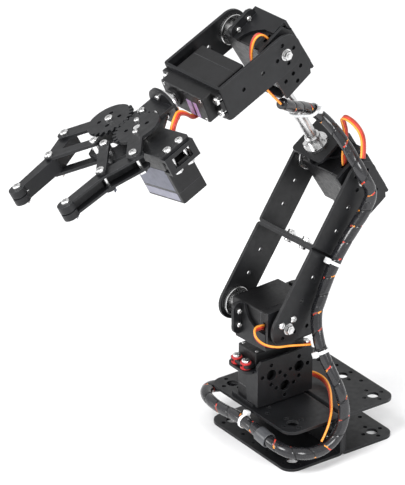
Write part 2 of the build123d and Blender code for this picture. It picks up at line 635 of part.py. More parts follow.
def gripper_mount():
    """U bracket between the palm plate and the gripper servo's far ear, with a window."""
    inner = -GEAR_PITCH_R + SHAFT_TO_END - SERVO_LENGTH - 0.4
    body = block(-MOUNT_BACK, inner, -PALM_HALF, PALM_HALF, PALM_LOW - SHEET, PALM_LOW)
    body += block(-MOUNT_BACK, inner, -PALM_HALF, PALM_HALF, MOUNT_LOW, MOUNT_LOW + SHEET)
    body += block(-MOUNT_BACK, -MOUNT_BACK + 1.5, -PALM_HALF, PALM_HALF, MOUNT_LOW, PALM_LOW)
    body -= block(-MOUNT_BACK - 1, -MOUNT_BACK + 2, -7.5, 7.5, MOUNT_LOW + 2.6, PALM_LOW - 2.6)
    for row in (-1, 1):
        body -= rod(ear_line(), row * EAR_HOLE_PITCH / 2, MOUNT_LOW - 1, PALM_LOW + 1, SMALL_HOLE_R)
    return body


def hand_bracket():
    """Angle bracket from the roll horn (a round plate on Z 0) to the top of the palm plate."""
    top = SERVO_DROP - PALM_LOW - SHEET
    face = rod(0, 0, 0, SHEET, LEG_HALF) + block(top - SHEET, 0, -LEG_HALF, LEG_HALF, 0, SHEET)
    reach = GEAR_LINE - PALM_BACK + 11.5
    tongue = block(top - SHEET, top, -LEG_HALF, LEG_HALF, 0, reach)
    tongue = fillet(tongue.edges().filter_by(Axis.X).group_by(Axis.Z)[-1], 4.0)
    for side in (-1, 1):
        hole = Location((top, side * PATTERN_R, GEAR_LINE - PALM_BACK + 5.5), (0, 90, 0))
        tongue -= hole * rod(0, 0, -SHEET - 1, 1, SMALL_HOLE_R)
    return face + tongue - pattern_cut(0, 0, -1, SHEET, 3.0)


def palm_post(x, y, low, high):
    """A round spacer between the palm and a link."""
    return rod(x, y, low, high, 3.4) - rod(x, y, low - 1, high + 1, M3_R + 0.05)


# ---------------------------------------------------------------- cable harness
# Route of the wrapped bundle with the arm at rest, from inside the base to the elbow.
LOW_ROUTE = [
    (11.0, -23.0, 14.6), (12.0, -35.0, 14.4), (18.5, -46.5, 15.6), (31.0, -52.6, 19.4), (43.5, -50.4, 21.6),
    (50.2, -40.0, 21.4), (50.6, -24.0, 20.6), (50.0, -7.0, 22.8), (50.0, 12.0, 22.2), (50.6, 30.0, 20.6),
    (48.4, 44.8, 18.4), (37.6, 51.6, 15.8), (24.0, 51.2, 13.6), (12.6, 50.6, 17.2), (5.2, 50.4, 26.6),
    (3.0, 50.0, 38.6), (4.4, 46.6, 51.0), (7.6, 41.6, 62.4), (10.4, 36.0, 73.6), (11.6, 30.4, 84.8),
]
# The same bundle in the upper arm's frame and in the forearm's frame.
ARM_ROUTE = [
    (-11.6, 33.2, 16.6), (-9.6, 33.0, 27.6), (-6.4, 32.9, 43.0), (-5.4, 32.9, 60.6), (-7.0, 33.2, 77.6),
    (-7.4, 35.2, 92.6), (-3.0, 37.2, 104.8),
]
FORE_ROUTE = [
    (2.0, 36.6, 8.6), (-0.6, 31.8, 20.0), (-5.6, 21.8, 29.8), (-8.6, 11.0, 39.6), (-7.4, 5.0, 50.6),
    (-2.6, 5.0, 61.4), (3.4, 8.8, 70.8), (9.2, 13.0, 79.6), (14.6, 15.2, 90.0),
]


def to_world(frame, points):
    return [tuple((frame * Pos(*p)).position) for p in points]


def middle_of(a, b, share=0.5):
    return tuple(p + (q - p) * share for p, q in zip(a, b))


def bend_radii(points, share=0.45):
    """Largest radii that let the bends along a route meet without touching."""
    vectors = [Vector(*p) for p in points]
    radii = []
    for before, here, after in zip(vectors, vectors[1:], vectors[2:]):
        run_in, run_out = here - before, after - here
        turn = math.radians(run_in.get_angle(run_out))
        radii.append(share * min(run_in.length, run_out.length) / math.tan(turn / 2))
    return radii


def tube(name, points, radii, radius):
    """A round cable along a route; prints its bends, its length and how true its volume is."""
    path = FilletPolyline(*[Vector(*p) for p in points], radius=radii)
    wire = Wire(path.edges())
    solid = sweep(Plane(origin=wire @ 0, z_dir=wire % 0) * Circle(radius), path=wire)
    true_to = solid.volume / (math.pi * radius ** 2 * wire.length)
    print(f"  {name}: radii {[round(r, 1) for r in radii]}, length {wire.length:.1f}, volume {true_to:.4f}")
    return solid


def route_piece(name, points, radii, first, last, radius=BUNDLE_R):
    """The cable from the middle of run first to the middle of run last of a route."""
    inner = points[first + 1:last + 1]
    ends = [middle_of(points[first], points[first + 1]), middle_of(points[last], points[last + 1])]
    if first == 0:
        ends[0] = points[0]
    if last == len(points) - 2:
        ends[1] = points[-1]
    return tube(name, [ends[0]] + inner + [ends[1]], radii[first:last], radius)


def lead(name, points, radius=1.3):
    return tube(name, points, bend_radii(points), radius)


def tie(width, depth):
    """A cable tie: a closed band round a bundle lying along Z, with its lock on +X."""
    band, tape = 1.0, 2.6
    outer = rounded(width + 2 * band, depth + 2 * band, depth / 2 - 0.1 + band, -tape / 2, tape / 2)
    inner = rounded(width, depth, depth / 2 - 0.1, -tape, tape)
    return outer - inner + block(width / 2 + 0.6, width / 2 + 3.4, -2.0, 2.0, -1.7, 1.7)


def across_run(a, b, share=0.5):
    """A frame on a run of cable, Z along it."""
    direction = Vector(*b) - Vector(*a)
    return Location(Plane(origin=middle_of(a, b, share), z_dir=direction))


# ---------------------------------------------------------------- assembly
def add_servo(node, frame):
    """The shells and the drive of one servo."""
    add(node + "_case", frame, servo_case())
    add(node + "_covers", frame, servo_bottom_cover(), servo_gear_cover())
    add(node + "_drive", frame, *servo_drive())


def stud_parts():
    """Stud on a bracket's floor, opposite the horn, with the nut inside and the nut outside the bearing."""
    low = -SHEET - 2.2
    face = SERVO_SEAT - LEG_INNER
    stud = rod(0, 0, face - 6.3, 0, STUD_R)
    inner = Pos(0, 0, low) * extrude(RegularPolygon(NUT_R, 6) - Circle(STUD_R + 0.02), amount=2.2)
    outer = Pos(0, 0, face - 5.4) * extrude(RegularPolygon(NUT_R, 6) - Circle(STUD_R + 0.02), amount=2.2)
    return stud, inner, outer


def bearing():
    """Flanged bearing in a leg's big hole, on the stud."""
    face = SERVO_SEAT - LEG_INNER
    ring = rod(0, 0, face, face + 1.0, BEARING_FLANGE_R) + rod(0, 0, face - 3.0, face, BEARING_R)
    return ring - rod(0, 0, face - 4, face + 2, STUD_R + 0.04)


def floor_bolts():
    """Flat-headed screws that hold a bracket's floor down, in the servo's frame."""
    return [(0, PATTERN_R), (0, -PATTERN_R), (SERVO_MIDDLE - 4.3, 0), (SERVO_MIDDLE - WALL_PITCH, PATTERN_R)]


def build_base():
    sunk = [Pos(x, y, -1.2) * Cone(1.6, 2.8, 1.2, align=(Align.CENTER, Align.CENTER, Align.MIN))
            for x, y in floor_bolts()]
    base_bracket = bracket(-1, EAR_BOTTOM - 1)
    front = base_channel(1)
    for (x, y), cone in zip(floor_bolts(), sunk):
        base_bracket -= cone
        front -= BASE_SERVO * rod(x, y, -2 * SHEET - 1, -SHEET + 1, SMALL_HOLE_R)
        head = Pos(x, y, -1.2) * Cone(1.45, 2.7, 1.2, align=(Align.CENTER, Align.CENTER, Align.MIN))
        shank = rod(x, y, -2 * SHEET - NUT_H, -1.2, M3_R)
        add("base_fasteners", BASE_SERVO, head + shank, nut(x, y, -2 * SHEET - NUT_H))
    add("base_channel_front", BASE, *channel_solids(front, 1))
    add("base_channel_rear", BASE, *channel_solids(base_channel(-1), -1))
    add("base_bracket", BASE_SERVO, base_bracket)
    add_servo("base_servo", BASE_SERVO)
    add("base_grommets", BASE_SERVO, *grommets())
    add("base_fasteners", BASE_SERVO, *ear_screws(EAR_TOP + 1, EAR_TOP - EAR_BOTTOM + SHEET + 2))
    turn = Location((0, 0, BASE_HEIGHT / 2), (0, 90, 0))
    for y in (-BASE_HOLE_INSET, BASE_HOLE_INSET):
        for z in (-PATTERN_R, PATTERN_R):
            add("base_fasteners", turn, Pos(z, y, SHEET) * pan_screw(2 * SHEET + NUT_H), nut(z, y, -SHEET - NUT_H))


def build_turret():
    add("yaw_horn", YAW_HORN, *servo_output())
    add("shoulder_bracket", SHOULDER_SERVO, bracket(-1, EAR_BOTTOM))
    add_servo("shoulder_servo", SHOULDER_SERVO)
    add("turret_fasteners", YAW_HORN, *horn_screws())
    add("turret_fasteners", SHOULDER_SERVO, *ear_screws(below=True), *stud_parts())


def build_upper_arm():
    add("lower_arm_channel", SHOULDER * Pos(0, 0, LEG_LENGTH) * Rot(180, 0, 0), arm_channel())
    add("upper_arm_channel", SHOULDER * Pos(0, 0, LEG_LENGTH), arm_channel())
    for horn in (SHOULDER_HORN, ELBOW_HORN):
        add("arm_horns", horn, *servo_output())
        add("arm_fasteners", horn, *horn_screws(), bearing())
    for y in (-PATTERN_R, PATTERN_R):
        screw = Location((0, y, LEG_LENGTH - SHEET), (180, 0, 0)) * pan_screw(2 * SHEET + NUT_H + 0.4)
        add("arm_fasteners", SHOULDER, screw, nut(0, y, LEG_LENGTH + SHEET))
    for x, z in ((PATTERN_R, 0), (0, PATTERN_R)):
        spare = Location((x, CHANNEL_WIDTH / 2, z), (-90, 0, 0)) * pan_screw(SHEET, 2.5)
        add("arm_fasteners", SHOULDER, spare)


def build_forearm():
    for servo, pitch, fixed in ((ELBOW_SERVO, WALL_PITCH, "elbow"), (WRIST_SERVO, -WALL_PITCH, "wrist")):
        x_wall = SERVO_MIDDLE + pitch
        add(fixed + "_bracket", servo, bracket(1, EAR_BOTTOM))
        add_servo("forearm_servo", servo)
        add("forearm_fasteners", servo, *ear_screws(below=True), *stud_parts())
        through_wall = [mirror(piece, about=Plane.XZ) for piece in wall_screws(x_wall, WALL_ROW_HIGH)]
        add("forearm_fasteners", servo, *through_wall)
    low = ELBOW_FRAME * Pos(0, 0, ELBOW_ANGLE)
    high = ELBOW_FRAME * Pos(0, 0, FOREARM - WRIST_ANGLE) * Rot(180, 0, 0)
    lower = angle_bracket()
    upper = mirror(angle_bracket(), about=Plane.XY)
    for piece, servo, pitch, place in (
        (lower, ELBOW_SERVO, WALL_PITCH, ELBOW_ANGLE), (upper, WRIST_SERVO, -WALL_PITCH, FOREARM - WRIST_ANGLE),
    ):
        cut = servo * mirror(angle_leg_cut(SERVO_MIDDLE + pitch, WALL_ROW_HIGH), about=Plane.XZ)
        add("tube_brackets", Location(), ELBOW_FRAME * Pos(0, 0, place) * piece - cut)
    at_tube = Pos(0, TUBE_OFFSET, 0)
    for place in (low * at_tube, ELBOW_FRAME * Pos(0, TUBE_OFFSET, FOREARM - WRIST_ANGLE) * Rot(180, 0, 0)):
        add("tube_hubs", place, tube_hub())
        add("forearm_fasteners", place, *hub_screws())
    ends = (ELBOW_ANGLE + 1.0, FOREARM - WRIST_ANGLE - 1.0)
    pipe = rod(0, TUBE_OFFSET, *ends, TUBE_R) - rod(0, TUBE_OFFSET, ends[0] - 1, ends[1] + 1, TUBE_R - 1.0)
    add("forearm_tube", ELBOW_FRAME, pipe)


def build_wrist():
    add("wrist_horn", WRIST_HORN, *servo_output())
    add("wrist_fork", WRIST * Pos(0, 0, LEG_LENGTH) * Rot(180, 0, 0), fork_channel())
    add_servo("roll_servo", ROLL_SERVO)
    add("wrist_fasteners", WRIST_HORN, *horn_screws(), bearing())
    add("wrist_fasteners", ROLL_SERVO, *ear_screws())


def build_hand():
    add("roll_horn", ROLL_HORN, *servo_output())
    add("hand_bracket", HAND, hand_bracket())
    add("hand_fasteners", ROLL_HORN, *horn_screws(SHEET, (0, 180)))
    add("palm_plate", GRIP, palm_plate())
    add("gripper_mount", GRIP, gripper_mount())
    add_servo("gripper_servo", GRIP_SERVO)
    for row in (-1, 1):
        y = row * EAR_HOLE_PITCH / 2
        long_screw = Pos(ear_line(), y, PALM_LOW + SHEET) * pan_screw(PALM_LOW + SHEET - MOUNT_LOW + NUT_H)
        add("hand_fasteners", GRIP, long_screw, nut(ear_line(), y, MOUNT_LOW - NUT_H))
        short = Pos(row * PATTERN_R, -PALM_BACK + 5.5, PALM_LOW + 2 * SHEET) * pan_screw(2 * SHEET + NUT_H)
        add("hand_fasteners", GRIP, short, nut(row * PATTERN_R, -PALM_BACK + 5.5, PALM_LOW - NUT_H))
    pivots = ((GEAR_PITCH_R, 0, PALM_LOW), (LINK_HALF, LINK_FORWARD, FINGER_LOW - 2 * GAP - SHEET),
              (-LINK_HALF, LINK_FORWARD, FINGER_LOW - 2 * GAP - SHEET))
    for x, y, low in pivots:
        bolt = Pos(x, y, ARM_TOP + GAP) * pan_screw(ARM_TOP + GAP - low + NUT_H)
        add("hand_fasteners", GRIP, bolt, nut(x, y, low - NUT_H), palm_post(x, y, PALM_LOW + SHEET, ARM_LOW - GAP))
        if y > 0:
            add("hand_fasteners", GRIP, palm_post(x, y, FINGER_LOW, PALM_LOW))


def build_gripper():
    for side, name in ((1, "left"), (-1, "right")):
        gear = GRIP * Pos(side * GEAR_PITCH_R, 0, 0)
        add(name + "_gear_arm", gear, gear_arm(side))
        add(name + "_link", GRIP * Pos(side * LINK_HALF, LINK_FORWARD, 0), *link_bars(side))
        ex, ey = arm_end(side)
        front = GRIP * Pos(side * LINK_HALF + ex, LINK_FORWARD + ey, 0)
        add(name + "_finger", front, finger(side))
        add(name + "_finger_bolts", front, *finger_bolts(side))
    add("gripper_horn", GRIP_HORN, *servo_output(), *horn_screws(SHEET, (90, 270)))


def build_cables():
    route = LOW_ROUTE + to_world(SHOULDER, ARM_ROUTE) + to_world(ELBOW_FRAME, FORE_ROUTE)
    radii = bend_radii(route)
    base_end = 15
    turret_end = 18
    arm_start = len(LOW_ROUTE)
    arm_end_run = arm_start + len(ARM_ROUTE) - 3
    fore_start = arm_start + len(ARM_ROUTE) + 1
    add("base_cable", BASE, route_piece("base_cable", route, radii, 0, base_end))
    add("yaw_cable", BASE, route_piece("yaw_cable", route, radii, base_end, turret_end))
    add("shoulder_cable", BASE, route_piece("shoulder_cable", route, radii, turret_end, arm_start))
    add("arm_cable", BASE, route_piece("arm_cable", route, radii, arm_start, arm_end_run))
    add("elbow_cable", BASE, route_piece("elbow_cable", route, radii, arm_end_run, fore_start))
    add("forearm_cable", BASE, route_piece("forearm_cable", route, radii, fore_start, len(route) - 2))
    sleeve = rod(0, 0, -6.0, 6.0, BUNDLE_R + 1.1) - rod(0, 0, -8.0, 8.0, BUNDLE_R + 0.45)
    add("cable_sleeve", across_run(route[8], route[9], 0.7), sleeve)
    for node, start in (("base_cable", 7), ("base_cable", 1), ("arm_cable", arm_start + 2)):
        add(node, across_run(route[start], route[start + 1]), tie(2 * BUNDLE_R, 2 * BUNDLE_R))
    round_tube = axes_frame((-2.54, -0.01, 56.0), (-0.4402, 0.8979, 0), (0, 0, 1))
    add("forearm_cable", ELBOW_FRAME * round_tube, tie(20.2, 2 * BUNDLE_R + 0.4))


def build_leads():
    add("base_cable", BASE, lead("base servo lead", [
        (-0.8, -9.5, 36.4), (-7.0, -9.3, 36.2), (-13.0, -6.4, 35.2), (-16.0, 0.4, 33.8), (-14.6, 8.0, 33.0),
        (-10.6, 15.6, 33.2), (-5.6, 23.6, 33.0), (0.4, 31.6, 33.4), (5.8, 39.4, 33.8), (11.6, 45.6, 32.4),
        (17.0, 49.6, 27.0), (22.6, 50.6, 20.2),
    ]))
    add("turret_lead", TURRET, lead("shoulder servo lead", [
        (32.0, 15.7, 93.25), (37.6, 15.9, 94.6), (42.6, 17.8, 94.6), (44.4, 21.8, 91.2), (41.6, 26.4, 87.4),
        (34.6, 30.6, 84.8), (25.6, 32.6, 84.0), (16.4, 34.2, 82.0), (9.4, 35.8, 80.8),
    ]))
    add("forearm_cable", ELBOW_FRAME, lead("elbow servo lead", [
        (0.0, 15.7, 10.3), (-2.4, 15.9, 16.4), (-8.0, 15.4, 21.8), (-13.4, 14.8, 28.4), (-15.4, 15.0, 36.4),
        (-15.0, 17.8, 43.6), (-15.2, 23.0, 46.4), (-16.0, 28.2, 42.0), (-14.8, 32.4, 34.4), (-10.0, 35.0, 27.8),
        (-4.0, 37.2, 23.6),
    ]))
    add("forearm_cable", ELBOW_FRAME * Pos(0, 0, FOREARM), lead("wrist servo lead", [
        (0.0, 15.7, 10.3), (1.0, 15.7, 15.6), (4.6, 15.0, 18.4), (9.2, 13.6, 15.6), (13.2, 12.6, 9.6),
        (16.6, 12.0, 1.6), (18.2, 12.0, -8.4), (18.0, 13.2, -19.0), (17.0, 14.6, -28.6), (15.6, 15.6, -37.0),
    ]))
    to_palm = to_world(GRIP, [
        (-5.2, 0.0, -32.6), (-0.6, -0.8, -32.2), (1.2, -5.4, -31.0), (-1.0, -11.2, -28.2), (-6.6, -14.6, -23.2),
        (-13.6, -15.8, -16.2), (-19.4, -16.2, -8.8), (-21.6, -19.4, -2.8), (-19.0, -25.0, -1.2),
    ])
    to_fork = to_world(WRIST, [
        (-1.6, 5.9, 75.0), (4.0, 4.4, 69.6), (11.4, 2.2, 65.8), (14.8, 0.0, 60.4), (16.0, -2.0, 53.6),
        (14.6, -3.0, 46.4), (12.6, -2.6, 39.6),
    ])
    add("gripper_lead", BASE, lead("gripper servo lead", to_palm + to_fork))


def build_all():
    build_base()
    build_turret()
    build_upper_arm()
    build_forearm()
    build_wrist()
    build_hand()
    build_gripper()
    build_cables()
    build_leads()


build_all()
os.makedirs("parts", exist_ok=True)
for name, solids in PARTS.items():
    export_step(Compound(children=solids) if len(solids) > 1 else solids[0], f"parts/{name}.step")
print(len(PARTS), "nodes")
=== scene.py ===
import math

import bpy
from mathutils import Matrix, Vector


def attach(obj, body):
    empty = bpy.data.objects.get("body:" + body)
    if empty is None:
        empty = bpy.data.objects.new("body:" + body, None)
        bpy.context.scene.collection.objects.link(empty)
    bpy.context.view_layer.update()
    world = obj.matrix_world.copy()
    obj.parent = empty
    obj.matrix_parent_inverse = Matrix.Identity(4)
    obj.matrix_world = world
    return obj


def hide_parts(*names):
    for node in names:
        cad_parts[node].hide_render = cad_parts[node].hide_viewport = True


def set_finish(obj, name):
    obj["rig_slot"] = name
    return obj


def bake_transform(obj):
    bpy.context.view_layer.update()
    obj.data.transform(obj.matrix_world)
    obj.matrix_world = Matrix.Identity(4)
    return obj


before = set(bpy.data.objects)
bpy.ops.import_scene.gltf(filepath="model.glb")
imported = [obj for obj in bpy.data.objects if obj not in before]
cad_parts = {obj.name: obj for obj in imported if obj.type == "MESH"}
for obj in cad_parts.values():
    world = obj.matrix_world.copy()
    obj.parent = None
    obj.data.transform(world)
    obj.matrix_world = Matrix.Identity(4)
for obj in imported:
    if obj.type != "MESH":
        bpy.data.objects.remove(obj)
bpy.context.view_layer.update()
MM = 0.001

# ---------------------------------------------------------------- sizes, in millimetres, as in part.py
CHANNEL_WIDTH, SHEET = 54.8, 2.0
SERVO_LENGTH, SERVO_WIDTH, SERVO_HEIGHT = 40.5, 19.8, 37.0
SERVO_MIDDLE = -10.1
HORN_TOP = 45.5
SERVO_SEAT = HORN_TOP - (CHANNEL_WIDTH / 2 - SHEET)
BASE_TOP = 32.0
BUNDLE_R = 4.2
YAW, UPPER_ARM_TILT, FOREARM_TILT, WRIST_TILT, ROLL = 4.3, -35.4, 32.3, 112.8, 12.9
LEG_LENGTH, FOREARM = 54.4, 129.0
GEAR_PITCH_R = 15.6


# ---------------------------------------------------------------- frames
def move(x, y, z):
    return Matrix.Translation((x, y, z))


def turn(axis, degrees):
    return Matrix.Rotation(math.radians(degrees), 4, axis)


def axes_frame(origin, x_dir, z_dir):
    x, z = Vector(x_dir), Vector(z_dir)
    y = z.cross(x)
    m = Matrix((x, y, z)).transposed().to_4x4()
    m.translation = origin
    return m


TURRET = move(9.5, -9.5, 0) @ turn("Z", YAW) @ move(0, 0.9, 0)
SHOULDER = TURRET @ move(21.6, 0, 93.25) @ turn("Y", UPPER_ARM_TILT)
ELBOW = SHOULDER @ move(0, 0, 2 * LEG_LENGTH) @ turn("Y", FOREARM_TILT - UPPER_ARM_TILT)
WRIST = ELBOW @ move(0, 0, FOREARM) @ turn("Y", WRIST_TILT - FOREARM_TILT)
ROLL_SERVO_Z = LEG_LENGTH - 27.0
HAND = WRIST @ move(0, SERVO_MIDDLE, ROLL_SERVO_Z + HORN_TOP) @ turn("Z", ROLL)
GRIP = HAND @ axes_frame((1.1, 0, 32.1), (0, -1, 0), (-1, 0, 0))
BASE_SERVO = move(9.5, -9.5, BASE_TOP) @ axes_frame((0, 0, 0), (-1, 0, 0), (0, 0, 1))
SHOULDER_SERVO = TURRET @ axes_frame((21.6, SERVO_SEAT, 93.25), (1, 0, 0), (0, -1, 0))
ELBOW_SERVO = ELBOW @ axes_frame((0, SERVO_SEAT, 0), (0, 0, 1), (0, -1, 0))
WRIST_SERVO = ELBOW @ axes_frame((0, SERVO_SEAT, FOREARM), (0, 0, 1), (0, -1, 0))
ROLL_SERVO = WRIST @ axes_frame((0, SERVO_MIDDLE, ROLL_SERVO_Z), (0, -1, 0), (0, 0, 1))
GRIP_SERVO = GRIP @ move(-GEAR_PITCH_R, 0, -SERVO_HEIGHT)
SERVOS = {
    "base": (BASE_SERVO, "base"), "shoulder": (SHOULDER_SERVO, "turret"), "elbow": (ELBOW_SERVO, "forearm"),
    "wrist": (WRIST_SERVO, "forearm"), "roll": (ROLL_SERVO, "wrist"), "gripper": (GRIP_SERVO, "hand"),
}

# ---------------------------------------------------------------- camera
FOCAL_PX, PHOTO_WIDTH_PX = 3854.4, 405
SIDE_TURN, ELEVATION, TILT = 215.988, 26.595, 0.373
AIM = Vector((0, 0, 160))
OFFSET = Vector((67.746, 18.15, 2524.64))


def add_camera():
    """The camera as it was calibrated against the photo."""
    a, e, r = (math.radians(v) for v in (SIDE_TURN, ELEVATION, TILT))
    turned = Matrix(((math.cos(a), -math.sin(a), 0), (math.sin(a), math.cos(a), 0), (0, 0, 1)))
    right = Vector((1, 0, 0))
    up = Vector((0, math.sin(e), math.cos(e)))
    forward = Vector((0, math.cos(e), -math.sin(e)))
    rows = Matrix((math.cos(r) * right + math.sin(r) * up, math.cos(r) * up - math.sin(r) * right, forward)) @ turned
    place = AIM + rows.transposed() @ Vector((-OFFSET.x, -OFFSET.y, -OFFSET.z))
    data = bpy.data.cameras.new("camera")
    data.sensor_fit = "HORIZONTAL"
    data.sensor_width = 36.0
    data.lens = FOCAL_PX / PHOTO_WIDTH_PX * data.sensor_width
    data.clip_end = 20.0
    camera = bpy.data.objects.new("camera", data)
    facing = Matrix((rows[0], rows[1], -rows[2])).transposed().to_4x4()
    facing.translation = place * MM
    camera.matrix_world = facing
    bpy.context.scene.collection.objects.link(camera)
    bpy.context.scene.camera = camera


# ---------------------------------------------------------------- materials
class Finish:
    """A node material in the making: a principled shader and what feeds it."""

    def __init__(self, name, metallic=0.0, coat=0.0, sheen=0.0, gloss=0.35):
        self.material = bpy.data.materials.new(name)
        self.material.use_nodes = True
        self.tree = self.material.node_tree
        self.shader = self.tree.nodes["Principled BSDF"]
        self.shader.inputs["Metallic"].default_value = metallic
        self.shader.inputs["Coat Weight"].default_value = coat
        self.shader.inputs["Sheen Weight"].default_value = sheen
        self.shader.inputs["Specular IOR Level"].default_value = gloss
        self.place = self.node("ShaderNodeTexCoord").outputs["Object"]

    def node(self, kind, **settings):
        made = self.tree.nodes.new(kind)
        for key, value in settings.items():
            setattr(made, key, value)
        return made

    def link(self, source, target):
        self.tree.links.new(source, target)

    def noise(self, scale, detail=4.0, stretch=None):
        texture = self.node("ShaderNodeTexNoise")
        texture.inputs["Scale"].default_value = scale
        texture.inputs["Detail"].default_value = detail
        source = self.place
        if stretch:
            mapping = self.node("ShaderNodeMapping")
            mapping.inputs["Scale"].default_value = stretch
            self.link(source, mapping.inputs["Vector"])
            source = mapping.outputs["Vector"]
        self.link(source, texture.inputs["Vector"])
        return texture.outputs["Fac"]

    def ramp(self, factor, stops):
        ramp = self.node("ShaderNodeValToRGB")
        elements = ramp.color_ramp.elements
        while len(elements) < len(stops):
            elements.new(0.5)
        for element, (at, value) in zip(elements, stops):
            element.position = at
            element.color = (*value, 1)
        self.link(factor, ramp.inputs["Fac"])
        return ramp.outputs["Color"]

    def grey(self, factor, low, high, start=0.3, end=0.7):
        return self.ramp(factor, [(start, (low,) * 3), (end, (high,) * 3)])

    def mix(self, factor, a, b):
        mixer = self.node("ShaderNodeMix", data_type="RGBA")
        self.link(factor, mixer.inputs["Factor"])
        self.link(a, mixer.inputs["A"])
        self.link(b, mixer.inputs["B"])
        return mixer.outputs["Result"]

    def edges(self, radius, start=0.86, end=0.985):
        """White along sharp edges, black on faces."""
        bevel = self.node("ShaderNodeBevel", samples=6)
        bevel.inputs["Radius"].default_value = radius * MM
        normal = self.node("ShaderNodeNewGeometry").outputs["Normal"]
        dot = self.node("ShaderNodeVectorMath", operation="DOT_PRODUCT")
        self.link(bevel.outputs["Normal"], dot.inputs[0])
        self.link(normal, dot.inputs[1])
        return self.ramp(dot.outputs["Value"], [(start, (1, 1, 1)), (end, (0, 0, 0))])

    def bump(self, heights, strength=0.3, distance=0.2):
        bump = self.node("ShaderNodeBump")
        bump.inputs["Strength"].default_value = strength
        bump.inputs["Distance"].default_value = distance * MM
        self.link(heights, bump.inputs["Height"])
        self.link(bump.outputs["Normal"], self.shader.inputs["Normal"])

    def colour(self, source):
        self.link(source, self.shader.inputs["Base Color"])

    def rough(self, source):
        self.link(source, self.shader.inputs["Roughness"])


def sheet_finish():
    f = Finish("black_anodised_sheet")
    cloud = f.noise(55, 5)
    face = f.ramp(cloud, [(0.3, (0.0045, 0.0048, 0.0056)), (0.72, (0.0085, 0.0088, 0.0102))])
    # Lighter, bluish colour along the sharp edges: a painted highlight where the rims catch the light.
    edge_highlight = f.ramp(f.noise(700, 3), [(0.35, (0.02, 0.021, 0.025)), (0.7, (0.07, 0.073, 0.08))])
    f.colour(f.mix(f.edges(0.35), face, edge_highlight))
    f.rough(f.grey(f.noise(240, 4), 0.36, 0.52))
    f.bump(f.noise(2600, 3), 0.16, 0.05)
    return f.material


def plastic_finish(name, dark=0.0055, light=0.0095, low=0.3, high=0.46):
    f = Finish(name)
    stops = [(0.3, (dark, dark, dark * 1.08)), (0.75, (light, light, light * 1.12))]
    f.colour(f.ramp(f.noise(90, 5), stops))
    f.rough(f.grey(f.noise(420, 3), low, high))
    f.bump(f.noise(3400, 2), 0.25, 0.06)
    return f.material


def metal_finish(name, low, high, rough_low, rough_high, stretch=(1, 1, 1), scale=900):
    f = Finish(name, metallic=1.0)
    f.colour(f.grey(f.noise(260, 4), low, high))
    brushed = f.noise(scale, 3, stretch)
    f.rough(f.grey(brushed, rough_low, rough_high))
    f.bump(brushed, 0.12, 0.04)
    return f.material


def plain_finish(name, dark, light, low, high, coat=0.0, sheen=0.0, strength=0.2):
    f = Finish(name, coat=coat, sheen=sheen)
    f.colour(f.ramp(f.noise(160, 4), [(0.3, dark), (0.75, light)]))
    f.rough(f.grey(f.noise(500, 3), low, high))
    f.bump(f.noise(1500, 3), strength, 0.08)
    return f.material


BLACK = sheet_finish()
CASE = plastic_finish("servo_case_plastic")
COVER = plastic_finish("servo_cover_plastic", 0.005, 0.0085, 0.36, 0.52)
SILVER = metal_finish("machined_aluminium", 0.62, 0.86, 0.16, 0.34, (1, 1, 6))
STEEL = metal_finish("stainless_screw", 0.6, 0.82, 0.14, 0.3, (1, 1, 1), 1800)
DRIVE = metal_finish("motor_can", 0.32, 0.45, 0.3, 0.45)
RUBBER = plain_finish("red_rubber", (0.42, 0.012, 0.014), (0.6, 0.03, 0.03), 0.5, 0.68, sheen=0.15)
NYLON = plain_finish("white_nylon", (0.72, 0.73, 0.74), (0.86, 0.87, 0.88), 0.32, 0.46)
WRAP = plain_finish("glossy_black_wrap", (0.008, 0.008, 0.0095), (0.017, 0.017, 0.02), 0.16, 0.36, coat=0.5)
# Near black, darker than the tape: painted shade for the open seam between the tape's turns, where the wires inside
# lie in shadow.
GAP_SHADE = plain_finish("painted_gap_shade", (0.003, 0.003, 0.0035), (0.006, 0.006, 0.007), 0.45, 0.6)
SLEEVE = plain_finish("grey_sleeve", (0.045, 0.047, 0.052), (0.085, 0.088, 0.095), 0.28, 0.42, coat=0.3)
BROWN = plain_finish("brown_wire", (0.3, 0.045, 0.03), (0.4, 0.07, 0.045), 0.34, 0.46)
RED = plain_finish("red_wire", (0.62, 0.045, 0.03), (0.78, 0.08, 0.05), 0.32, 0.44)
ORANGE = plain_finish("orange_wire", (0.86, 0.29, 0.03), (0.95, 0.4, 0.07), 0.32, 0.44)
LABEL_GREY = plain_finish("label_blue_grey", (0.085, 0.09, 0.125), (0.125, 0.13, 0.17), 0.3, 0.42, strength=0.08)
LABEL_PALE = plain_finish("label_pale_band", (0.2, 0.2, 0.26), (0.27, 0.27, 0.33), 0.3, 0.42, strength=0.08)
LABEL_LILAC = plain_finish("label_lilac", (0.34, 0.2, 0.42), (0.45, 0.3, 0.52), 0.3, 0.42, strength=0.08)
DARK_INK = plain_finish("label_dark_band", (0.03, 0.014, 0.03), (0.05, 0.024, 0.05), 0.3, 0.42, strength=0.08)


def paint_cad():
    """Each CAD node that stays visible takes its procedural finish."""
    for name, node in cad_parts.items():
        if name.endswith("_case"):
            finish = CASE
        elif name.endswith("_covers"):
            finish = COVER
        elif name.endswith("_drive"):
            finish = DRIVE
        elif name.endswith("fasteners") or name.endswith("bolts"):
            finish = STEEL
        elif name == "base_grommets":
            finish = RUBBER
        elif name.endswith(("horn", "horns")) or name in ("tube_hubs", "forearm_tube"):
            finish = SILVER
        else:
            finish = BLACK
        node.data.materials.clear()
        node.data.materials.append(finish)


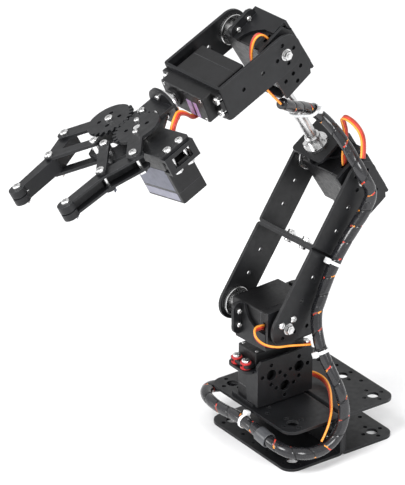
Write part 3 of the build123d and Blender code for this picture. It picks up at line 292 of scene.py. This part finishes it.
# ---------------------------------------------------------------- mesh helpers
def mesh_piece(name, verts, faces, finishes, slot, face_finish=None, smooth=True):
    """A mesh object with its slot; verts are in millimetres in the shared frame."""
    mesh = bpy.data.meshes.new(name)
    mesh.from_pydata([Vector(v) * MM for v in verts], [], faces)
    for finish in finishes:
        mesh.materials.append(finish)
    if face_finish:
        mesh.polygons.foreach_set("material_index", face_finish)
    mesh.polygons.foreach_set("use_smooth", [smooth] * len(faces))
    mesh.validate()
    piece = bpy.data.objects.new(name, mesh)
    bpy.context.scene.collection.objects.link(piece)
    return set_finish(piece, slot)


# The four corners of a rounded outline: the signs of X and Y, and where the corner's arc starts in degrees.
CORNERS = ((1, 1, 0), (-1, 1, 90), (-1, -1, 180), (1, -1, 270))


class Shape:
    """Collects vertices, faces and each face's finish."""

    def __init__(self):
        self.verts, self.faces, self.finish = [], [], []

    def rings(self, rings, closed_loop=False, caps=True, finish=0, finish_of=None):
        """Skin a row of rings with the same number of points."""
        start, count = len(self.verts), len(rings[0])
        for ring in rings:
            self.verts += ring
        spans = len(rings) if closed_loop else len(rings) - 1
        for i in range(spans):
            a = start + i * count
            b = start + (i + 1) % len(rings) * count
            for k in range(count):
                j = (k + 1) % count
                self.faces.append((a + k, a + j, b + j, b + k))
                self.finish.append(finish_of(i, k) if finish_of else finish)
        if caps and not closed_loop:
            last = start + (len(rings) - 1) * count
            self.faces.append(tuple(range(start + count - 1, start - 1, -1)))
            self.faces.append(tuple(range(last, last + count)))
            self.finish += [finish, finish]

    def piece(self, name, finishes, slot, smooth=True):
        return mesh_piece(name, self.verts, self.faces, finishes, slot, self.finish, smooth)


def ring_at(place, outline):
    """An outline of (x, y) or (x, y, z) points, in millimetres, set in a frame."""
    return [place @ Vector((p[0], p[1], p[2] if len(p) > 2 else 0)) for p in outline]


def circle(radius, count, z=0.0):
    return [(radius * math.cos(2 * math.pi * k / count), radius * math.sin(2 * math.pi * k / count), z)
            for k in range(count)]


def soft_box(shape, place, low, high, edge, finish=0):
    """A box with rounded upright corners and eased rims, drawn along Z of its frame."""
    cx, cy = (low[0] + high[0]) / 2, (low[1] + high[1]) / 2
    hx, hy = (high[0] - low[0]) / 2, (high[1] - low[1]) / 2
    rings = []
    for z, inset in ((low[2], edge), (low[2] + edge * 0.3, edge * 0.3), (low[2] + edge, 0),
                     (high[2] - edge, 0), (high[2] - edge * 0.3, edge * 0.3), (high[2], edge)):
        outline = []
        for sx, sy, start in CORNERS:
            for step in range(4):
                angle = math.radians(start + step * 30)
                reach = max(edge - inset * 0.2, 0.05)
                x = cx + sx * (hx - inset - reach) + reach * math.cos(angle)
                y = cy + sy * (hy - inset - reach) + reach * math.sin(angle)
                outline.append((x, y, z))
        rings.append(ring_at(place, outline))
    shape.rings(rings, finish=finish)


def spline_line(points):
    """The smooth line of a cable route, in millimetres: a NURBS spline through its control points."""
    curve = bpy.data.curves.new("route", "CURVE")
    curve.dimensions = "3D"
    spline = curve.splines.new("NURBS")
    spline.points.add(len(points) - 1)
    for knot, p in zip(spline.points, points):
        knot.co = (p[0] * MM, p[1] * MM, p[2] * MM, 1)
    spline.order_u = 3
    spline.use_endpoint_u = True
    spline.resolution_u = 24
    holder = bpy.data.objects.new("route", curve)
    mesh = bpy.data.meshes.new_from_object(holder)
    line = [v.co / MM for v in mesh.vertices]
    bpy.data.objects.remove(holder)
    bpy.data.curves.remove(curve)
    bpy.data.meshes.remove(mesh)
    return line


def even_line(line, step):
    """Points at equal distances along a line."""
    lengths = [0.0]
    for a, b in zip(line, line[1:]):
        lengths.append(lengths[-1] + (b - a).length)
    count = max(2, round(lengths[-1] / step))
    out, i = [], 0
    for k in range(count + 1):
        at = lengths[-1] * k / count
        while i < len(line) - 2 and lengths[i + 1] < at:
            i += 1
        share = (at - lengths[i]) / max(lengths[i + 1] - lengths[i], 1e-9)
        out.append(line[i].lerp(line[i + 1], min(share, 1.0)))
    return out


def carried_frames(line, side):
    """A frame at each point of a line, Z along it, X carried on without twist from a first side."""
    frames, x = [], Vector(side)
    for i, p in enumerate(line):
        z = (line[min(i + 1, len(line) - 1)] - line[max(i - 1, 0)]).normalized()
        x = (x - z * x.dot(z)).normalized()
        frames.append(axes_frame(p, x, z))
    return frames


# ---------------------------------------------------------------- cable bundle
LOW_ROUTE = [
    (11.0, -23.0, 14.6), (12.0, -35.0, 14.4), (18.5, -46.5, 15.6), (31.0, -52.6, 19.4), (43.5, -50.4, 21.6),
    (50.2, -40.0, 21.4), (50.6, -24.0, 20.6), (50.0, -7.0, 22.8), (50.0, 12.0, 22.2), (50.6, 30.0, 20.6),
    (48.4, 44.8, 18.4), (37.6, 51.6, 15.8), (24.0, 51.2, 13.6), (12.6, 50.6, 17.2), (5.2, 50.4, 26.6),
    (3.0, 50.0, 38.6), (4.4, 46.6, 51.0), (7.6, 41.6, 62.4), (10.4, 36.0, 73.6), (11.6, 30.4, 84.8),
]
ARM_ROUTE = [
    (-11.6, 33.2, 16.6), (-9.6, 33.0, 27.6), (-6.4, 32.9, 43.0), (-5.4, 32.9, 60.6), (-7.0, 33.2, 77.6),
    (-7.4, 35.2, 92.6), (-3.0, 37.2, 104.8),
]
FORE_ROUTE = [
    (2.0, 36.6, 8.6), (-0.6, 31.8, 20.0), (-5.6, 21.8, 29.8), (-8.6, 11.0, 39.6), (-7.4, 5.0, 50.6),
    (-2.6, 5.0, 61.4), (3.4, 8.8, 70.8), (9.2, 13.0, 79.6), (14.6, 15.2, 90.0),
]
BUNDLE_PIECES = [
    ("base_cable", 0, 15, "base", None), ("yaw_cable", 15, 18, "base", "turret"),
    ("shoulder_cable", 18, 20, "turret", "upper_arm"), ("arm_cable", 20, 25, "upper_arm", None),
    ("elbow_cable", 25, 28, "upper_arm", "forearm"), ("forearm_cable", 28, 35, "forearm", None),
]
# Each tie's run of the route and how far along it, by the CAD node it is on.
TIES = {"base_cable": [(7, 0.5), (1, 0.5)], "arm_cable": [(22, 0.5)], "yaw_cable": [(18, 0.3)]}
TIE_THICK, TIE_WIDTH, TIE_GAP = 0.7, 2.2, 0.05
TUBE_TIE_THICK, TUBE_TIE_WIDTH, TUBE_TIE_GAP = 0.9, 2.6, 0.25
TUBE_TIE_HALF_LENGTH = 10.1
SLEEVE_RUN, SLEEVE_SHARES = 8, (0.45, 1.0)
SLEEVE_THICK, SLEEVE_GAP = 1.0, 0.15
WRAP_PITCH, WRAP_GAP = 12.5, 0.075
STEP, ROUND = 0.55, 28
BUNDLE_FINISHES = [WRAP, RED, BROWN, ORANGE, NYLON, GAP_SHADE]
TAPE_FACE, FIRST_WIRE_FACE, TIE_FACE, GAP_SHADE_FACE = 0, 1, 4, 5
WIRE_SHOWS_ABOVE = 0.55


def wrap_radius(along, angle):
    """The wrapped bundle's radius: two strands under a wide spiral tape with an open seam."""
    phase = (along / WRAP_PITCH - angle / (2 * math.pi)) % 1.0
    slow = 0.35 * math.sin(along / 31.0) + 0.25 * math.sin(along / 12.7 + 1.3)
    strands = 0.955 + 0.045 * math.cos(2 * (angle - slow - along / 60.0))
    if phase < WRAP_GAP:
        dip = math.sin(math.pi * phase / WRAP_GAP)
        return BUNDLE_R * strands * (1 - 0.14 * dip ** 0.5), True
    rise = math.sin(math.pi * (phase - WRAP_GAP) / (1 - WRAP_GAP))
    return BUNDLE_R * strands * (0.955 + 0.045 * rise ** 0.5), False


def bundle_ring(place, along):
    ring = []
    for k in range(ROUND):
        angle = 2 * math.pi * k / ROUND
        radius = wrap_radius(along, angle)[0]
        ring.append(place @ Vector((radius * math.cos(angle), radius * math.sin(angle), 0)))
    return ring


def wire_finish(along, angle):
    """Which finish a face of the bundle shows: tape, painted shade in the open seam, or one of the wires in it."""
    if not wrap_radius(along, angle)[1]:
        return TAPE_FACE
    seam = math.floor(along / WRAP_PITCH - angle / (2 * math.pi))
    spot = math.sin(seam * 2.4) + math.sin(angle * 2 + seam * 1.7)
    # Where no wire glints through, the open seam is painted shade.
    if spot < WIRE_SHOWS_ABOVE:
        return GAP_SHADE_FACE
    return FIRST_WIRE_FACE + int((angle * 3 / math.pi + along / 9.0) % 3)


def band(shape, place, half_x, half_y, thick, tape, finish):
    """A tie's closed band round a bundle that lies along Z of its frame, with its lock."""
    corner = min(half_x, half_y)
    loop = []
    for sx, sy, start in CORNERS:
        for step in range(9):
            angle = math.radians(start + step * 11.25)
            centre = Vector((sx * (half_x - corner), sy * (half_y - corner), 0))
            loop.append((centre, Vector((math.cos(angle), math.sin(angle), 0))))
    rings = []
    for centre, out in loop:
        inner = centre + out * corner
        outer = centre + out * (corner + thick)
        up = Vector((0, 0, tape / 2))
        ease = out * thick * 0.3
        rings.append([place @ p for p in (inner - up, outer - ease - up, outer - up * 0.7, outer + up * 0.7,
                                          outer - ease + up, inner + up)])
    shape.rings(rings, closed_loop=True, finish=finish)
    lock = (half_x + thick * 0.5, -2.0, -1.9)
    soft_box(shape, place, lock, (lock[0] + 3.0, 2.0, 1.9), 0.45, finish)


def route_middle(points, run, share=0.5):
    """The point at a share of the way along one run of a route."""
    return Vector(points[run]).lerp(Vector(points[run + 1]), share)


def nearest(line, point):
    """The index of the line's point that is nearest to a point."""
    return min(range(len(line)), key=lambda i: (line[i] - point).length_squared)


def build_bundle():
    route = [Vector(p) for p in LOW_ROUTE]
    route += [SHOULDER @ Vector(p) for p in ARM_ROUTE] + [ELBOW @ Vector(p) for p in FORE_ROUTE]
    line = even_line(spline_line(route), STEP)
    frames = carried_frames(line, (0, 0, 1))
    last_run = len(route) - 2
    for node, first, last, body, next_body in BUNDLE_PIECES:
        start = 0 if first == 0 else nearest(line, route_middle(route, first))
        end = len(line) - 1 if last >= last_run else nearest(line, route_middle(route, last))
        shape = Shape()
        rings = [bundle_ring(frames[i], i * STEP) for i in range(start, end + 1)]
        shape.rings(rings, finish_of=lambda i, k: wire_finish(
            (start + i + 0.5) * STEP, 2 * math.pi * (k + 0.5) / ROUND))
        for run, share in TIES.get(node, []):
            at = frames[nearest(line, route_middle(route, run, share))]
            band(shape, at, BUNDLE_R + TIE_GAP, BUNDLE_R + TIE_GAP, TIE_THICK, TIE_WIDTH, TIE_FACE)
        if node == "forearm_cable":
            between = ELBOW @ axes_frame((-2.54, -0.01, 56.0), (-0.4402, 0.8979, 0), (0, 0, 1))
            band(shape, between, TUBE_TIE_HALF_LENGTH, BUNDLE_R + TUBE_TIE_GAP, TUBE_TIE_THICK,
                 TUBE_TIE_WIDTH, TIE_FACE)
        piece = shape.piece(node + "_wrapped", BUNDLE_FINISHES, "black_wrap")
        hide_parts(node)
        if next_body:
            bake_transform(piece)
        else:
            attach(piece, body)
    sleeve = Shape()
    low, high = (nearest(line, route_middle(route, SLEEVE_RUN, share)) for share in SLEEVE_SHARES)
    outer = [ring_at(frames[i], circle(BUNDLE_R + SLEEVE_THICK, ROUND)) for i in range(low, high + 1)]
    inner = [ring_at(frames[i], circle(BUNDLE_R + SLEEVE_GAP, ROUND)) for i in range(high, low - 1, -1)]
    sleeve.rings(outer + inner, closed_loop=True)
    piece = sleeve.piece("bundle_sleeve", [SLEEVE], "grey_sleeve")
    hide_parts("cable_sleeve")
    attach(piece, "base")


# ---------------------------------------------------------------- flat servo leads
LEADS = [
    ("base_servo_lead", None, "base", (0, 0, 1), [
        (-0.8, -9.5, 36.4), (-7.0, -9.3, 36.2), (-13.0, -6.4, 35.2), (-16.0, 0.4, 33.8), (-14.6, 8.0, 33.0),
        (-10.6, 15.6, 33.2), (-5.6, 23.6, 33.0), (0.4, 31.6, 33.4), (5.8, 39.4, 33.8), (11.6, 45.6, 32.4),
        (17.0, 49.6, 27.0), (22.6, 50.6, 20.2)]),
    ("shoulder_servo_lead", TURRET, "turret", (0, 0, 1), [
        (32.0, 15.7, 93.25), (37.6, 15.9, 94.6), (42.6, 17.8, 94.6), (44.4, 21.8, 91.2), (41.6, 26.4, 87.4),
        (34.6, 30.6, 84.8), (25.6, 32.6, 84.0), (16.4, 34.2, 82.0), (9.4, 35.8, 80.8)]),
    ("elbow_servo_lead", ELBOW, "forearm", (1, 0, 0), [
        (0.0, 15.7, 10.3), (-2.4, 15.9, 16.4), (-8.0, 15.4, 21.8), (-13.4, 14.8, 28.4), (-15.4, 15.0, 36.4),
        (-15.0, 17.8, 43.6), (-15.2, 23.0, 46.4), (-16.0, 28.2, 42.0), (-14.8, 32.4, 34.4), (-10.0, 35.0, 27.8),
        (-4.0, 37.2, 23.6)]),
    ("wrist_servo_lead", ELBOW @ move(0, 0, FOREARM), "forearm", (0, 1, 0), [
        (0.0, 15.7, 10.3), (1.0, 15.7, 15.6), (4.6, 15.0, 18.4), (9.2, 13.6, 15.6), (13.2, 12.6, 9.6),
        (16.6, 12.0, 1.6), (18.2, 12.0, -8.4), (18.0, 13.2, -19.0), (17.0, 14.6, -28.6), (15.6, 15.6, -37.0)]),
]
TO_PALM = [
    (-5.2, 0.0, -32.6), (-0.6, -0.8, -32.2), (1.2, -5.4, -31.0), (-1.0, -11.2, -28.2), (-6.6, -14.6, -23.2),
    (-13.6, -15.8, -16.2), (-19.4, -16.2, -8.8), (-21.6, -19.4, -2.8), (-19.0, -25.0, -1.2),
]
TO_FORK = [
    (-1.6, 5.9, 75.0), (4.0, 4.4, 69.6), (11.4, 2.2, 65.8), (14.8, 0.0, 60.4), (16.0, -2.0, 53.6),
    (14.6, -3.0, 46.4), (12.6, -2.6, 39.6),
]
WIRE_R, WIRE_PITCH = 0.72, 1.34


def flat_lead(name, points, side):
    """A ribbon of three wires side by side along a route."""
    line = even_line(spline_line(points), 0.9)
    frames = carried_frames(line, side)
    shape = Shape()
    for k in range(3):
        offset = move((k - 1) * WIRE_PITCH, 0, 0)
        shape.rings([ring_at(place @ offset, circle(WIRE_R, 10)) for place in frames], finish=k)
    return shape.piece(name, [BROWN, RED, ORANGE], "lead")


def build_leads():
    for name, place, body, side, points in LEADS:
        place = place or Matrix()
        world = [place @ Vector(p) for p in points]
        piece = flat_lead(name, world, place.to_3x3() @ Vector(side))
        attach(piece, body)
        if name == "shoulder_servo_lead":
            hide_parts("turret_lead")
    world = [GRIP @ Vector(p) for p in TO_PALM] + [WRIST @ Vector(p) for p in TO_FORK]
    piece = flat_lead("gripper_servo_lead", world, GRIP.to_3x3() @ Vector((0, 0, 1)))
    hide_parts("gripper_lead")
    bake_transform(piece)


# ---------------------------------------------------------------- servo details
SCREW_R, SCREW_HEIGHT, SCREW_SUNK = 1.15, 0.35, 0.05
SCREW_INSET = (2.6, 2.4)
CASE_CORNER_R, SEAM_PROUD, SEAM_HEIGHT, SEAM_HALF = 1.2, 0.06, 8.0, 0.25
LABEL_THICK, LABEL_EDGE = 0.12, 0.05


def cap_screw(shape, place, radius, height):
    """A small case screw: an eased head with a sunk drive."""
    count = 16
    profile = [(radius, 0), (radius, height * 0.6), (radius * 0.86, height), (radius * 0.5, height),
               (radius * 0.42, height * 0.35), (radius * 0.05, height * 0.3)]
    shape.rings([ring_at(place, circle(r, count, z)) for r, z in profile])


def build_servo_details():
    """Each servo's four case screws and the seam round its case."""
    half_l, half_w = SERVO_LENGTH / 2, SERVO_WIDTH / 2
    for name, (place, body) in SERVOS.items():
        screws = Shape()
        for sx in (-1, 1):
            for sy in (-1, 1):
                at = (SERVO_MIDDLE + sx * (half_l - SCREW_INSET[0]), sy * (half_w - SCREW_INSET[1]))
                cap_screw(screws, place @ move(*at, SERVO_HEIGHT - SCREW_SUNK), SCREW_R, SCREW_HEIGHT)
        piece = screws.piece(name + "_case_screws", [STEEL], "steel")
        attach(piece, body)
        trim = Shape()
        outline = []
        for sx, sy, start in CORNERS:
            for step in range(5):
                angle = math.radians(start + step * 22.5)
                outline.append((
                    SERVO_MIDDLE + sx * (half_l - CASE_CORNER_R) + (CASE_CORNER_R + SEAM_PROUD) * math.cos(angle),
                    sy * (half_w - CASE_CORNER_R) + (CASE_CORNER_R + SEAM_PROUD) * math.sin(angle)))
        heights = (SEAM_HEIGHT - SEAM_HALF, SEAM_HEIGHT, SEAM_HEIGHT + SEAM_HALF)
        trim.rings([ring_at(place @ move(0, 0, h), outline) for h in heights], caps=False)
        piece = trim.piece(name + "_case_seam", [WRAP], "servo_plastic")
        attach(piece, body)


def label(name, place, body, spans):
    """A thin foil label in bands, on a face whose outward normal is Z of its frame."""
    shape = Shape()
    finishes = []
    for index, (low, high, finish) in enumerate(spans):
        soft_box(shape, place, (*low, 0), (*high, LABEL_THICK), LABEL_EDGE, index)
        finishes.append(finish)
    piece = shape.piece(name, finishes, "servo_plastic", smooth=False)
    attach(piece, body)


def build_labels():
    side = SERVO_WIDTH / 2
    face = GRIP_SERVO @ axes_frame((0, side, 0), (1, 0, 0), (0, 1, 0))
    label("gripper_servo_label", face, "hand", [
        ((-27.0, -25.0), (8.6, -8.9), LABEL_GREY), ((-27.0, -7.2), (8.6, -1.2), LABEL_PALE),
    ])
    label("roll_servo_label", ROLL_SERVO @ move(0, 0, SERVO_HEIGHT), "wrist", [
        ((-22.0, -3.0), (-18.6, 9.0), LABEL_LILAC), ((-18.5, -3.0), (-16.6, 9.0), DARK_INK),
        ((-16.5, -3.0), (-12.0, 9.0), LABEL_LILAC),
    ])


# ---------------------------------------------------------------- stage
FLOOR_HALF, WORLD_STRENGTH = 4000, 0.85


def add_light(name, place, size, power, target=(0, 0, 0.15)):
    data = bpy.data.lights.new(name, "AREA")
    data.shape = "DISK"
    data.size = size
    data.energy = power
    lamp = bpy.data.objects.new(name, data)
    lamp.location = place
    lamp.rotation_euler = (Vector(target) - Vector(place)).to_track_quat("-Z", "Y").to_euler()
    bpy.context.scene.collection.objects.link(lamp)


def add_stage():
    white = plain_finish("floor_white", (0.86, 0.86, 0.865), (0.88, 0.88, 0.885), 0.7, 0.8)
    corners = [(x * FLOOR_HALF, y * FLOOR_HALF, 0) for x, y in ((-1, -1), (1, -1), (1, 1), (-1, 1))]
    floor = mesh_piece("floor", corners, [(0, 1, 2, 3)], [white], "black_sheet", smooth=False)
    # mesh_piece gives every mesh a slot, and the floor is no part of the object.
    del floor["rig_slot"]
    world = bpy.data.worlds.new("studio")
    world.use_nodes = True
    background = world.node_tree.nodes["Background"]
    background.inputs["Color"].default_value = (1.0, 1.0, 1.0, 1)
    background.inputs["Strength"].default_value = WORLD_STRENGTH
    bpy.context.scene.world = world
    bpy.context.scene.view_settings.view_transform = "Standard"
    add_light("key", (0.9, 0.2, 1.2), 0.7, 16.0)
    add_light("side", (-0.1, 1.2, 0.7), 0.5, 8.0)
    add_light("fill", (1.1, -0.6, 0.5), 0.6, 5.0)


add_camera()
paint_cad()
build_bundle()
build_leads()
build_servo_details()
build_labels()
add_stage()
